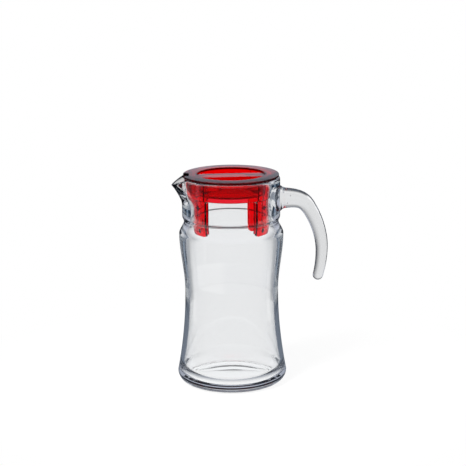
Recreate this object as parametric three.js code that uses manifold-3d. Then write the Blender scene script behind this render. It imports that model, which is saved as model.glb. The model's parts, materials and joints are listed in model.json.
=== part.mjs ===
// Glass water jug with a transparent red lid, in millimetres with +Z up.
// The origin is the centre of the flat base. The spout points along -X and the handle along +X.
import * as THREE from 'three';
import { mergeVertices } from 'three/addons/utils/BufferGeometryUtils.js';
import Module from 'manifold-3d';

const wasm = await Module();
wasm.setup();

// Outside of the glass vessel
const jugHeight = 209;
const footRadius = 54.7;
const heelRound = 10.5;
const flareSlope = 0.19;
const waistRadius = 46.5;
const waistAboveFoot = 84.5;
const shoulderRadius = 51.8;
const neckRadius = 46.9;
const neckAboveShoulder = 12.7;
const collarRadius = 48.6;
const collarEase = 5.5;
const collarHeight = 44.4;
const rimRound = 2.5;

// Inside of the glass vessel
const baseThickness = 6.3;
const innerHeelRound = 9;
const bodyWall = 4.3;
const neckBore = 40;
const boreDepth = 39.7;
const boreStep = 0.6;
const boreStepHeight = 2;

// Spout: a V pulled out of the rim
const spoutReach = 12;
const spoutDrop = 7.8;
const spoutHeight = 25;
const spoutLip = 4;
const spoutHollow = 1.35;
const spoutHalfAngle = THREE.MathUtils.degToRad(23);

// Handle: a bar of hot glass that is open at its lower end
const handleRootBelowRim = 22.9;
const handleOutward = 20.6;
const handleKneeOut = 32;
const handleKneeBelowRoot = 15.4;
const handleKneeSlope = THREE.MathUtils.degToRad(61);
const handleBeforeKnee = 16;
const handleAfterKnee = 5;
const handleReach = 42.1;
const handleBendBelowRoot = 52.3;
const handleFall = 17;
const handleTipBelowBend = 32.6;
const handleTipTuck = 5.1;
const handleRootHalf = 11.2;
const handleKneeHalf = 7.5;
const handleTipHalf = 5;
const handleDepthRatio = 0.85;
const handlePadFlare = 2.5;
const handlePadLength = 5;

// Lid cover: the plate on the rim and the grip cup under it
const plateInset = 1.1;
const plateThickness = 2.3;
const notchWidth = 16;
const notchDepth = 6;
const cupDepth = 18;
const cupWall = 1.8;
const cupDraft = 2.2;
const barWidth = 18;
const barDrop = 1.4;

// Lid cage: the ring in the neck and its four sprung legs
const skirtWall = 1.9;
const skirtHeight = 19;
const legLength = 37;
const legWidth = 24.6;
const legThickness = 2.2;
const legStep = 1.3;
const legCorner = 4;
const legTaper = 3;
const legTaperHeight = 13;
const legAngle = THREE.MathUtils.degToRad(59);
const cageTurn = THREE.MathUtils.degToRad(-4.5);
const backLegsTurn = THREE.MathUtils.degToRad(8);
const panelWidth = 12;
const panelRise = 0.9;
const flangeWidth = 2;
const flangeDepth = 1.8;
const bumpOffset = 4.6;
const bumpHeight = 8;
const bumpWidth = 4.8;
const bumpAboveTip = 7;

// Clearances
const seatGap = 0.3;
const weldGap = 0.3;
const skirtClearance = 1.8;
const turnClearance = 0.5;
const bumpClearance = 0.6;

// How finely round surfaces are divided, how far a curve's handles reach to make a quarter round,
// and how far a cutting or joining solid runs past what it meets.
const roundSegments = 48;
const curveSteps = 4;
const quarterHandle = 0.5523;
const barSteps = 26;
const barSides = 16;
const overcut = 2;
const overlap = 0.5;

// Heights and radii that follow from the sizes above
const waistHeight = heelRound + waistAboveFoot;
const neckHeight = jugHeight - collarHeight;
const shoulderHeight = neckHeight - neckAboveShoulder;
const boreBottom = jugHeight - boreDepth;
const plateRadius = collarRadius - plateInset;
const plateUnderside = jugHeight + seatGap;
const plateTop = plateUnderside + plateThickness;
const skirtOuter = neckBore - skirtClearance;
const skirtInner = skirtOuter - skirtWall;
const skirtTop = plateUnderside - seatGap;
const skirtBottom = skirtTop - skirtHeight;
const cupOuter = skirtInner - turnClearance;
const cupRadius = cupOuter - cupWall;
const legOuter = skirtOuter - legStep;
const legInner = legOuter - legThickness;
const legTop = skirtBottom - seatGap;
const legBottom = legTop - legLength;

const glass = {
  color: 0xe4e9ec, roughness: 0.04, metalness: 0, transparent: true, opacity: 0.35,
};
const redPlastic = {
  color: 0xd80a18, roughness: 0.12, metalness: 0, transparent: true, opacity: 0.8,
};

// Turns a closed geometry into a solid that can be joined and cut.
function solid(geometry) {
  const bare = geometry.clone();
  bare.deleteAttribute('normal');
  bare.deleteAttribute('uv');
  const merged = mergeVertices(bare, 1e-4);
  const corners = merged.index.array;
  const triangles = [];
  for (let i = 0; i < corners.length; i += 3) {
    const [a, b, c] = corners.slice(i, i + 3);
    if (a !== b && b !== c && c !== a) {
      triangles.push(a, b, c);
    }
  }
  return new wasm.Manifold(new wasm.Mesh({
    numProp: 3,
    vertProperties: new Float32Array(merged.attributes.position.array),
    triVerts: new Uint32Array(triangles),
  }));
}

// Names a solid as one piece of the jug, with its own material.
function piece(name, body, finish) {
  const mesh = body.getMesh();
  const geometry = new THREE.BufferGeometry();
  geometry.setAttribute('position', new THREE.BufferAttribute(mesh.vertProperties, 3));
  geometry.setIndex(new THREE.BufferAttribute(mesh.triVerts, 1));
  geometry.computeVertexNormals();
  const part = new THREE.Mesh(geometry, new THREE.MeshStandardMaterial(finish));
  part.name = name;
  return part;
}

// Turns a profile of (radius, height) points about the Z axis.
function turned(points) {
  return new THREE.LatheGeometry(points, roundSegments).rotateX(Math.PI / 2);
}

function polygon(...corners) {
  return corners.map(([x, y]) => new THREE.Vector2(x, y));
}

// A round tube, or a disc where the inner radius is 0.
function tube(inner, outer, bottom, top) {
  const corners = [[inner, bottom], [outer, bottom], [outer, top], [inner, top]];
  if (inner > 0) {
    corners.push([inner, bottom]);
  }
  return solid(turned(polygon(...corners)));
}

function box(width, depth, height, x, y, z) {
  return solid(new THREE.BoxGeometry(width, depth, height).translate(x, y, z));
}

// Goes on to a new radius and height in an S that leaves and arrives upright.
function easeTo(path, radius, height) {
  const { x, y } = path.currentPoint;
  const third = (height - y) / 3;
  path.bezierCurveTo(x, y + third, radius, height - third, radius, height);
}

// Goes on round a quarter turn whose square corner would be at (cornerRadius, cornerHeight).
function roundTo(path, cornerRadius, cornerHeight, radius, height) {
  const { x, y } = path.currentPoint;
  const short = 1 - quarterHandle;
  path.bezierCurveTo(
    cornerRadius + (x - cornerRadius) * short, cornerHeight + (y - cornerHeight) * short,
    cornerRadius + (radius - cornerRadius) * short, cornerHeight + (height - cornerHeight) * short,
    radius, height,
  );
}

// The glass section: up the outside, over the rim and down the inside to the floor.
function vesselProfile() {
  const innerHeelHeight = baseThickness + innerHeelRound;
  const innerFoot = footRadius - bodyWall - flareSlope * (innerHeelHeight - heelRound);
  const outerThird = waistAboveFoot / 3;
  const innerThird = (waistHeight - innerHeelHeight) / 3;
  const innerWaist = waistRadius - bodyWall;
  const innerNeck = neckBore + boreStep;
  const path = new THREE.Path();
  path.moveTo(0, 0);
  path.lineTo(footRadius - heelRound, 0);
  roundTo(path, footRadius, 0, footRadius, heelRound);
  path.bezierCurveTo(
    footRadius - flareSlope * outerThird, heelRound + outerThird,
    waistRadius, waistHeight - outerThird, waistRadius, waistHeight,
  );
  easeTo(path, shoulderRadius, shoulderHeight);
  easeTo(path, neckRadius, neckHeight);
  easeTo(path, collarRadius, neckHeight + collarEase);
  easeTo(path, collarRadius, jugHeight - rimRound);
  roundTo(path, collarRadius, jugHeight, collarRadius - rimRound, jugHeight);
  path.lineTo(neckBore + rimRound, jugHeight);
  roundTo(path, neckBore, jugHeight, neckBore, jugHeight - rimRound);
  easeTo(path, neckBore, boreBottom);
  easeTo(path, innerNeck, boreBottom - boreStepHeight);
  easeTo(path, innerNeck, neckHeight);
  easeTo(path, shoulderRadius - bodyWall, shoulderHeight);
  easeTo(path, innerWaist, waistHeight);
  path.bezierCurveTo(
    innerWaist, waistHeight - innerThird,
    innerFoot - flareSlope * innerThird, innerHeelHeight + innerThird, innerFoot, innerHeelHeight,
  );
  roundTo(path, innerFoot, baseThickness, innerFoot - innerHeelRound, baseThickness);
  path.lineTo(0, baseThickness);
  return path.getPoints(curveSteps);
}

// Draws the rim out and down into a V on the -X side. The inside goes further, down to a thin lip.
function pullSpout(geometry) {
  const places = geometry.attributes.position;
  const collarWall = collarRadius - neckBore;
  for (let i = 0; i < places.count; i += 1) {
    const x = places.getX(i);
    const y = places.getY(i);
    const z = places.getZ(i);
    const beside = Math.abs(Math.atan2(y, -x)) / spoutHalfAngle;
    const above = (z - jugHeight + spoutHeight) / spoutHeight;
    if (beside < 1 && above > 0) {
      const pull = (1 - beside) ** spoutHollow * above;
      const radius = Math.hypot(x, y);
      const intoWall = (collarRadius - radius) / collarWall;
      const reach = spoutReach + intoWall * (collarWall - spoutLip);
      const stretch = 1 + (reach * pull) / radius;
      places.setXYZ(i, x * stretch, y * stretch, z - spoutDrop * pull * above);
    }
  }
  return geometry;
}

function glassBody() {
  return solid(pullSpout(turned(vesselProfile())));
}

// The handle's middle line: out of the collar, over the knee, down past the bend to the free tip.
function handleLine() {
  const place = (x, z) => new THREE.Vector3(x, 0, z);
  const root = place(collarRadius, jugHeight - handleRootBelowRim);
  const knee = place(root.x + handleKneeOut, root.z - handleKneeBelowRoot);
  const bend = place(root.x + handleReach, root.z - handleBendBelowRoot);
  const tip = place(bend.x - handleTipTuck, bend.z - handleTipBelowBend);
  const downKnee = place(Math.cos(handleKneeSlope), -Math.sin(handleKneeSlope));
  const start = place(root.x - handleRootHalf, root.z);
  const outward = place(root.x + handleOutward, root.z);
  const beforeKnee = knee.clone().addScaledVector(downKnee, -handleBeforeKnee);
  const afterKnee = knee.clone().addScaledVector(downKnee, handleAfterKnee);
  const aboveBend = place(bend.x, bend.z + handleFall);
  const belowBend = place(bend.x, (bend.z + tip.z) / 2);
  const line = new THREE.CurvePath();
  line.add(new THREE.LineCurve3(start, root));
  line.add(new THREE.CubicBezierCurve3(root, outward, beforeKnee, knee));
  line.add(new THREE.CubicBezierCurve3(knee, afterKnee, aboveBend, bend));
  line.add(new THREE.QuadraticBezierCurve3(bend, belowBend, tip));
  return line;
}

// Half the handle's thickness at a length along it: a flared pad, a taper to the knee, a slower
// taper past it and a round tip.
function handleHalf(along, toRoot, toKnee, length) {
  const { mapLinear, clamp } = THREE.MathUtils;
  const taper = along < toKnee
    ? mapLinear(Math.max(along, toRoot), toRoot, toKnee, handleRootHalf, handleKneeHalf)
    : mapLinear(along, toKnee, length, handleKneeHalf, handleTipHalf);
  const pad = clamp(1 - (along - toRoot) / handlePadLength, 0, 1);
  const intoTip = clamp(1 - (length - along) / handleTipHalf, 0, 1);
  return (taper + handlePadFlare * pad ** 2) * Math.sqrt(1 - intoTip ** 2);
}

// A straight turned bar, bent along the middle line.
function glassHandle() {
  const line = handleLine();
  const [toRoot, toKnee] = line.getCurveLengths();
  const length = line.getLength();
  const profile = [new THREE.Vector2(0, 0)];
  for (let i = 0; i <= barSteps; i += 1) {
    const along = length * Math.sin((i / barSteps) * (Math.PI / 2));
    profile.push(new THREE.Vector2(handleHalf(along, toRoot, toKnee, length), along));
  }
  const bar = new THREE.LatheGeometry(profile, barSides);
  const places = bar.attributes.position;
  for (let i = 0; i < places.count; i += 1) {
    const along = Math.min(1, Math.max(0, places.getY(i) / length));
    const middle = line.getPointAt(along);
    const ahead = line.getTangentAt(along);
    const inPlane = places.getX(i);
    places.setXYZ(
      i,
      middle.x - ahead.z * inPlane,
      places.getZ(i) * handleDepthRatio,
      middle.z + ahead.x * inPlane,
    );
  }
  return solid(bar).subtract(tube(0, collarRadius + weldGap, 0, jugHeight));
}

function lidPlate() {
  const ring = tube(cupRadius, plateRadius, plateUnderside, plateTop);
  const notchLength = notchDepth + overcut;
  const notchMiddle = -plateRadius + notchDepth - notchLength / 2;
  const notchHeight = plateThickness + 2 * overcut;
  const plateMiddle = (plateUnderside + plateTop) / 2;
  return ring.subtract(box(notchLength, notchWidth, notchHeight, notchMiddle, 0, plateMiddle));
}

// A drafted drum with two finger wells, and a hollow grip bar left standing between them.
function lidGripCup() {
  const bottom = plateTop - cupDepth;
  const floor = bottom + cupWall;
  const drumTop = plateUnderside - seatGap;
  const barTop = plateTop - barDrop;
  const barReach = cupRadius - seatGap;
  const bottomOuter = cupOuter - cupDraft;
  const wellBottom = bottomOuter - cupWall;
  const drum = solid(turned(polygon(
    [0, bottom], [bottomOuter, bottom], [cupOuter, drumTop],
    [barReach, drumTop], [barReach, barTop], [0, barTop],
  )));
  const inside = (from) => solid(turned(polygon(
    [0, from], [wellBottom, from], [cupRadius, drumTop], [cupRadius, plateTop], [0, plateTop],
  )));
  const across = 2 * cupOuter;
  const bar = box(across, barWidth, 2 * cupDepth, 0, 0, floor);
  const hollowTop = barTop - cupWall;
  const hollowHeight = hollowTop - bottom + overcut;
  const hollowWidth = barWidth - 2 * cupWall;
  const hollow = box(across, hollowWidth, hollowHeight, 0, 0, hollowTop - hollowHeight / 2);
  const wells = inside(floor).subtract(bar);
  return drum.subtract(wells).subtract(inside(bottom - overcut).intersect(hollow));
}

function lidSkirtRing() {
  return tube(skirtInner, skirtOuter, skirtBottom, skirtTop);
}

// Stands a flat outline up facing +X, and pushes it outwards through the lid's walls.
function outlineAlongX(shape) {
  const pushed = new THREE.ExtrudeGeometry(shape, {
    depth: neckBore, bevelEnabled: false, curveSegments: curveSteps,
  });
  return solid(pushed.rotateX(Math.PI / 2).rotateZ(Math.PI / 2));
}

// The leg's outline, with rounded lower corners and one edge that draws in near the tip.
function legOutline(side) {
  const half = legWidth / 2;
  const low = half - legTaper;
  const taperTop = legBottom + legTaperHeight;
  const shape = new THREE.Shape();
  shape.moveTo(-half * side, legTop);
  shape.lineTo(-half * side, legBottom + legCorner);
  shape.quadraticCurveTo(-half * side, legBottom, (legCorner - half) * side, legBottom);
  shape.lineTo((low - legCorner) * side, legBottom);
  shape.quadraticCurveTo(low * side, legBottom, low * side, legBottom + legCorner);
  shape.bezierCurveTo(low * side, taperTop, half * side, legBottom + legCorner, half * side, taperTop);
  shape.lineTo(half * side, legTop);
  return shape;
}

// An upright strip along the leg's edge that is not tapered.
function edgeStrip(side, width) {
  const edge = -side * (legWidth / 2);
  const far = edge + side * width;
  const shape = new THREE.Shape();
  shape.moveTo(edge, legTop);
  shape.lineTo(edge, legBottom + legCorner);
  shape.lineTo(far, legBottom + legCorner);
  shape.lineTo(far, legTop);
  return shape;
}

// A four-sided snap bump that stands out from the panel towards the neck.
function snapBump(side) {
  const foot = legInner + legThickness / 2;
  const height = neckBore - bumpClearance - foot;
  const cone = new THREE.ConeGeometry(bumpHeight / 2, height, 4);
  cone.rotateZ(-Math.PI / 2).scale(1, bumpWidth / bumpHeight, 1);
  return solid(cone.translate(foot + height / 2, -bumpOffset * side, legBottom + bumpAboveTip));
}

// A curved plate with a raised panel and an inward flange along one edge, and the snap bump.
function lidLeg(side) {
  const curved = (inner, outer, shape) => {
    const shell = tube(inner, outer, legBottom - overcut, legTop + overcut);
    return shell.intersect(outlineAlongX(shape));
  };
  return curved(legInner, legOuter, legOutline(side))
    .add(curved(legOuter - overlap, legOuter + panelRise, edgeStrip(side, panelWidth)))
    .add(curved(legInner - flangeDepth, legInner + overlap, edgeStrip(side, flangeWidth)))
    .add(snapBump(side));
}

const jug = new THREE.Group();
jug.add(piece('glass_body', glassBody(), glass));
jug.add(piece('glass_handle', glassHandle(), glass));
jug.add(piece('lid_cover_plate', lidPlate(), redPlastic));
jug.add(piece('lid_grip_cup', lidGripCup(), redPlastic));

// The cage stands a little turned in the neck, with two legs on each side of the jug's middle plane.
// Its back pair of legs is turned a little against the front pair.
const cage = new THREE.Group();
cage.rotation.z = cageTurn;
cage.add(piece('lid_skirt_ring', lidSkirtRing(), redPlastic));
const front = -Math.PI / 2;
const back = Math.PI / 2;
const legs = [
  ['lid_leg_front_right', front + legAngle, 1],
  ['lid_leg_back_right', back + backLegsTurn - legAngle, -1],
  ['lid_leg_back_left', back + backLegsTurn + legAngle, 1],
  ['lid_leg_front_left', front - legAngle, -1],
];
for (const [name, angle, side] of legs) {
  const leg = piece(name, lidLeg(side), redPlastic);
  leg.rotation.z = angle;
  cage.add(leg);
}
jug.add(cage);

export default jug;
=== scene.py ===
# %% [markdown]
# # A glass jug with a see-through red lid
#
# A measured CAD model gives this lesson its frame: how big each part is, where it stands and which
# body it moves with. Blender then makes the jug look like glass and the lid like tinted plastic.
# We first load that frame and keep its box, so that at the end we can see that nothing has grown.

# %% Load the frame
import json
from math import atan2, cos, hypot, pi, radians, sin, sqrt

import bmesh
import bpy
from mathutils import Matrix, Vector
from mathutils.geometry import interpolate_bezier


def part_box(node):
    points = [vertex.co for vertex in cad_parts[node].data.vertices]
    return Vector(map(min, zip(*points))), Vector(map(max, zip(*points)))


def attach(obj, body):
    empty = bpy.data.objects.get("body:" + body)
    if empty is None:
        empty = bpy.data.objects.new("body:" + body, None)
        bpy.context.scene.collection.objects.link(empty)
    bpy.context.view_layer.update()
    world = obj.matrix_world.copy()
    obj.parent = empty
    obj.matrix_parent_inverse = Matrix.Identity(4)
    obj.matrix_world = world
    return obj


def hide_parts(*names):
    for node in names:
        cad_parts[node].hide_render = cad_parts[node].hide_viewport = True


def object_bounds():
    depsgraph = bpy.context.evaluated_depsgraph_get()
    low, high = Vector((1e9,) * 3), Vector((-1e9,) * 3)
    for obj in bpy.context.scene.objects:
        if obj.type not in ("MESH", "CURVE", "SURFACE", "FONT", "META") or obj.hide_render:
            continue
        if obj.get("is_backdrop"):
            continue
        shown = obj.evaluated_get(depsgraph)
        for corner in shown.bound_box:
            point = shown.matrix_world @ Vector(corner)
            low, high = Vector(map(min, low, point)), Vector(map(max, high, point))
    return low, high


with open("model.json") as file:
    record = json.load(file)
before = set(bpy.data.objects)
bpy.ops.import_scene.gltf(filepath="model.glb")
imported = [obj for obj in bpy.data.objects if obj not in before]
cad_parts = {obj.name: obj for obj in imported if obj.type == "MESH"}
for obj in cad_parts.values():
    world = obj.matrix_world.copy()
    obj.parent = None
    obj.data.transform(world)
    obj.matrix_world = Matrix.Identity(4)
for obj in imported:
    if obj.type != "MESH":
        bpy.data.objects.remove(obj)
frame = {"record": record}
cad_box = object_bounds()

MM = 0.001
UP = Vector((0, 0, 1))

for body, nodes in frame["record"]["behaviour"]["bodies"].items():
    print(body, "carries", ", ".join(nodes))
print("the CAD box is", [round((high - low) / MM, 1) for low, high in zip(*cad_box)], "mm")

# %% [markdown]
# ## The camera
#
# The camera comes first, because every later choice is judged through it. The ellipses of the lid
# and the foot tell how far away and how high the camera stood: about 1.5 m off and half a metre
# up, a long lens that hardly narrows the jug towards its base. The spout is turned a little towards us.

# %% Stand the camera
CAMERA_DISTANCE = 1500 * MM
CAMERA_HEIGHT = 510 * MM
CAMERA_TURN = radians(4.5)
CAMERA_ROLL = radians(-0.39)
AIM_HEIGHT = 151.4 * MM
AIM_SIDE = 1.7 * MM
FOCAL_LENGTH_IN_PIXELS = 1550
PICTURE_SIDE_IN_PIXELS = 466

camera_data = bpy.data.cameras.new("camera")
camera_data.lens = camera_data.sensor_width * FOCAL_LENGTH_IN_PIXELS / PICTURE_SIDE_IN_PIXELS
camera = bpy.data.objects.new("camera", camera_data)
bpy.context.scene.collection.objects.link(camera)
bpy.context.scene.camera = camera

to_camera = Vector((-sin(CAMERA_TURN), -cos(CAMERA_TURN), 0))
to_right = UP.cross(to_camera)
stand = to_camera * CAMERA_DISTANCE + UP * CAMERA_HEIGHT
aim = to_right * AIM_SIDE + UP * AIM_HEIGHT
turn = (aim - stand).to_track_quat("-Z", "Y").to_matrix().to_4x4()
camera.matrix_world = Matrix.Translation(stand) @ turn @ Matrix.Rotation(CAMERA_ROLL, 4, "Z")
print("the lens is", round(camera_data.lens, 1), "mm long")

# %% [markdown]
# ## The wall of the jug
#
# The vessel was pressed and blown in a mould, so it is round everywhere but at the spout. It could
# be cut from a cylinder, but a round thing is best turned: we draw half of its section, up the
# outside, over the rim and down the inside, and spin that line about the Z axis. Bezier curves keep
# the section to a handful of named radii and heights.

# %% Draw the section of the wall
_, body_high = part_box("glass_body")
JUG_HEIGHT = body_high.z
FOOT_RADIUS = 54.7 * MM
HEEL_ROUND = 10.5 * MM
FLARE_SLOPE = 0.19
WAIST_RADIUS = 46.5 * MM
WAIST_HEIGHT = 95 * MM
SHOULDER_RADIUS = 51.8 * MM
NECK_RADIUS = 46.9 * MM
COLLAR_RADIUS = 48.6 * MM
COLLAR_EASE = 5.5 * MM
COLLAR_HEIGHT = 44.4 * MM
NECK_HEIGHT = JUG_HEIGHT - COLLAR_HEIGHT
SHOULDER_BELOW_NECK = 12.7 * MM
SHOULDER_HEIGHT = NECK_HEIGHT - SHOULDER_BELOW_NECK
RIM_ROUND = 2.5 * MM
BASE_THICKNESS = 6.3 * MM
INNER_HEEL_ROUND = 14 * MM
BODY_WALL = 4.3 * MM
NECK_BORE = 40 * MM
BORE_DEPTH = 39.7 * MM
BORE_BOTTOM = JUG_HEIGHT - BORE_DEPTH
BORE_STEP = 0.6 * MM
BORE_STEP_HEIGHT = 2 * MM
PUNT_RADIUS = 43 * MM
PUNT_DEPTH = 0.8 * MM
PUNT_SIDE = 4 * PUNT_DEPTH
QUARTER_HANDLE = 0.5523


def at(radius, height):
    return Vector((radius, 0, height))


def curve_to(line, near_start, near_end, end, steps):
    """Goes on from the last point of a line along a Bezier curve."""
    line.extend(interpolate_bezier(line[-1], near_start, near_end, end, steps + 1)[1:])


def ease_to(line, end, steps):
    """Goes on to a new radius and height in an S that leaves and arrives upright."""
    third = UP * (end.z - line[-1].z) / 3
    curve_to(line, line[-1] + third, end - third, end, steps)


def round_to(line, corner, end, steps):
    """Goes on round a quarter turn that stays inside a square corner."""
    near_start = line[-1].lerp(corner, QUARTER_HANDLE)
    near_end = end.lerp(corner, QUARTER_HANDLE)
    curve_to(line, near_start, near_end, end, steps)


def outside_line():
    third = (WAIST_HEIGHT - HEEL_ROUND) / 3
    line = [at(0, PUNT_DEPTH), at(PUNT_RADIUS - PUNT_SIDE, PUNT_DEPTH), at(PUNT_RADIUS, 0)]
    line.append(at(FOOT_RADIUS - HEEL_ROUND, 0))
    round_to(line, at(FOOT_RADIUS, 0), at(FOOT_RADIUS, HEEL_ROUND), steps=10)
    leaving = at(FOOT_RADIUS - FLARE_SLOPE * third, HEEL_ROUND + third)
    waist = at(WAIST_RADIUS, WAIST_HEIGHT)
    curve_to(line, leaving, waist - UP * third, waist, steps=20)
    ease_to(line, at(SHOULDER_RADIUS, SHOULDER_HEIGHT), steps=16)
    ease_to(line, at(NECK_RADIUS, NECK_HEIGHT), steps=10)
    ease_to(line, at(COLLAR_RADIUS, NECK_HEIGHT + COLLAR_EASE), steps=6)
    ease_to(line, at(COLLAR_RADIUS, JUG_HEIGHT - RIM_ROUND), steps=12)
    round_to(line, at(COLLAR_RADIUS, JUG_HEIGHT), at(COLLAR_RADIUS - RIM_ROUND, JUG_HEIGHT), steps=6)
    return line


def inside_line(line):
    heel_height = BASE_THICKNESS + INNER_HEEL_ROUND
    foot = FOOT_RADIUS - BODY_WALL - FLARE_SLOPE * (heel_height - HEEL_ROUND)
    third = (WAIST_HEIGHT - heel_height) / 3
    waist = WAIST_RADIUS - BODY_WALL
    inner_neck = NECK_BORE + BORE_STEP
    neck_wall = NECK_RADIUS - inner_neck
    line.append(at(NECK_BORE + RIM_ROUND, JUG_HEIGHT))
    round_to(line, at(NECK_BORE, JUG_HEIGHT), at(NECK_BORE, JUG_HEIGHT - RIM_ROUND), steps=6)
    ease_to(line, at(NECK_BORE, BORE_BOTTOM), steps=12)
    ease_to(line, at(inner_neck, BORE_BOTTOM - BORE_STEP_HEIGHT), steps=8)
    ease_to(line, at(inner_neck, NECK_HEIGHT), steps=4)
    ease_to(line, at(SHOULDER_RADIUS - neck_wall, SHOULDER_HEIGHT), steps=14)
    ease_to(line, at(waist, WAIST_HEIGHT), steps=16)
    arriving = at(foot - FLARE_SLOPE * third, heel_height + third)
    curve_to(line, at(waist, WAIST_HEIGHT - third), arriving, at(foot, heel_height), steps=20)
    round_to(line, at(foot, BASE_THICKNESS), at(foot - INNER_HEEL_ROUND, BASE_THICKNESS), steps=10)
    line.append(at(0, BASE_THICKNESS))
    return line


wall_line = inside_line(outside_line())
print("the section has", len(wall_line), "points")

# %% [markdown]
# Spinning copies the line round the axis and joins each copy to the last. The two ends of the line
# lie on the axis, where all the copies fall on one point, so we merge doubles before we ask Blender
# to turn every face outwards.

# %% Spin the wall
JUG_STEPS = 160
TINY = 1e-6


def spun(line, steps, start=0.0):
    """A closed solid turned from half a section."""
    bm = bmesh.new()
    points = [bm.verts.new(point) for point in line]
    for first, second in zip(points, points[1:]):
        bm.edges.new((first, second))
    bmesh.ops.rotate(bm, verts=bm.verts[:], cent=(0, 0, 0), matrix=Matrix.Rotation(start, 3, "Z"))
    bmesh.ops.spin(
        bm, geom=bm.verts[:] + bm.edges[:], cent=(0, 0, 0), axis=UP, angle=2 * pi,
        steps=steps, use_merge=True,
    )
    bmesh.ops.remove_doubles(bm, verts=bm.verts[:], dist=TINY)
    bmesh.ops.dissolve_degenerate(bm, edges=bm.edges[:], dist=TINY)
    bmesh.ops.recalc_face_normals(bm, faces=bm.faces[:])
    return bm


wall = spun(wall_line, JUG_STEPS)
print("the wall has", len(wall.faces), "faces")

# %% [markdown]
# ## The spout
#
# While the rim was still soft, a tool drew one side of it out into a V. We do the same to the mesh:
# points near the -X side of the rim move outwards and down, most at the keel of the V and least at
# its ends. The inside is hollowed further and wider than that, so the lip ends thin.

# %% Pull the spout
SPOUT_REACH = 12 * MM
SPOUT_DROP = 7.8 * MM
SPOUT_HEIGHT = 25 * MM
SPOUT_LIP = 2.5 * MM
SPOUT_HALF_ANGLE = radians(23)
KEEL_ROUND = 0.08
BEAK = 1.35
HOLLOW_FULL = 0.7
HOLLOW_ENDS = 1.5


def smooth_step(part):
    part = min(1, max(0, part))
    return part * part * (3 - 2 * part)


collar_wall = COLLAR_RADIUS - NECK_BORE
for point in wall.verts:
    beside = abs(atan2(point.co.y, -point.co.x)) / SPOUT_HALF_ANGLE
    above = (point.co.z - JUG_HEIGHT + SPOUT_HEIGHT) / SPOUT_HEIGHT
    if beside < HOLLOW_ENDS and above > 0:
        pull = max(0, 1 - sqrt(beside ** 2 + KEEL_ROUND ** 2)) ** BEAK * above
        hollow = smooth_step((HOLLOW_ENDS - beside) / (HOLLOW_ENDS - HOLLOW_FULL)) * above
        radius = hypot(point.co.x, point.co.y)
        into_wall = (COLLAR_RADIUS - radius) / collar_wall
        reach = SPOUT_REACH * pull + into_wall * (collar_wall - SPOUT_LIP) * hollow
        stretch = 1 + reach / radius
        point.co.x *= stretch
        point.co.y *= stretch
        point.co.z -= SPOUT_DROP * pull * above
print("the spout reaches", round(-min(point.co.x for point in wall.verts) / MM, 1), "mm from the axis")

# %% [markdown]
# ## The handle
#
# The handle is a bar of hot glass that was pressed on to the collar and left open at its lower end.
# A curve object with a bevel would give a bar of one thickness. This one tapers and flares, so we
# extrude a ring of edges along its middle line instead and set the size of each new ring.

# %% Sweep the handle
HANDLE_ROOT_BELOW_RIM = 22.9 * MM
HANDLE_OUTWARD = 20.6 * MM
HANDLE_KNEE_OUT = 32 * MM
HANDLE_KNEE_BELOW_ROOT = 15.4 * MM
HANDLE_KNEE_SLOPE = radians(61)
HANDLE_BEFORE_KNEE = 16 * MM
HANDLE_AFTER_KNEE = 5 * MM
HANDLE_REACH = 42.1 * MM
HANDLE_BEND_BELOW_ROOT = 52.3 * MM
HANDLE_FALL = 17 * MM
HANDLE_TIP_BELOW_BEND = 32.6 * MM
HANDLE_TIP_TUCK = 5.1 * MM
HANDLE_ROOT_HALF = 11.2 * MM
HANDLE_KNEE_HALF = 7.5 * MM
HANDLE_TIP_HALF = 5 * MM
HANDLE_KNEE_PART = 0.33
HANDLE_DEPTH_RATIO = 0.85
HANDLE_PAD_FLARE = 2.5 * MM
HANDLE_PAD_LENGTH = 5 * MM
HANDLE_SUNK = 4 * MM
SUNK_STEPS = 4
HANDLE_SIDES = 40
TIP_ROUND_STEPS = 8
TIP_FLAT = 0.02
TOWARDS_CORNER = 2 / 3


def handle_line():
    """The handle's middle line: out of the collar, over the bend and down to the free tip."""
    root = at(COLLAR_RADIUS, JUG_HEIGHT - HANDLE_ROOT_BELOW_RIM)
    knee = root + at(HANDLE_KNEE_OUT, -HANDLE_KNEE_BELOW_ROOT)
    down_knee = at(cos(HANDLE_KNEE_SLOPE), -sin(HANDLE_KNEE_SLOPE))
    bend = root + at(HANDLE_REACH, -HANDLE_BEND_BELOW_ROOT)
    tip = bend + at(-HANDLE_TIP_TUCK, -HANDLE_TIP_BELOW_BEND)
    below_bend = at(bend.x, (bend.z + tip.z) / 2)
    line = [root - at(HANDLE_SUNK * step / SUNK_STEPS, 0) for step in range(SUNK_STEPS, -1, -1)]
    curve_to(line, root + at(HANDLE_OUTWARD, 0), knee - down_knee * HANDLE_BEFORE_KNEE, knee, steps=24)
    curve_to(line, knee + down_knee * HANDLE_AFTER_KNEE, bend + at(0, HANDLE_FALL), bend, steps=20)
    from_bend = bend.lerp(below_bend, TOWARDS_CORNER)
    to_tip = tip.lerp(below_bend, TOWARDS_CORNER)
    curve_to(line, from_bend, to_tip, tip, steps=24)
    return line


def handle_half(along, length):
    """Half the thickness at a length along the bar: a flared pad, a taper and a round tip."""
    to_knee = min(1, along / length / HANDLE_KNEE_PART)
    past_knee = max(0, along / length - HANDLE_KNEE_PART) / (1 - HANDLE_KNEE_PART)
    taper = HANDLE_ROOT_HALF + (HANDLE_KNEE_HALF - HANDLE_ROOT_HALF) * to_knee
    taper += (HANDLE_TIP_HALF - HANDLE_KNEE_HALF) * past_knee
    pad = max(0, 1 - (along - HANDLE_SUNK) / HANDLE_PAD_LENGTH)
    into_tip = max(0, 1 - (length - along) / HANDLE_TIP_HALF)
    tip_round = sqrt(max(TIP_FLAT ** 2, 1 - into_tip ** 2))
    return (taper + HANDLE_PAD_FLARE * min(1, pad) ** 2) * tip_round


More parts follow.
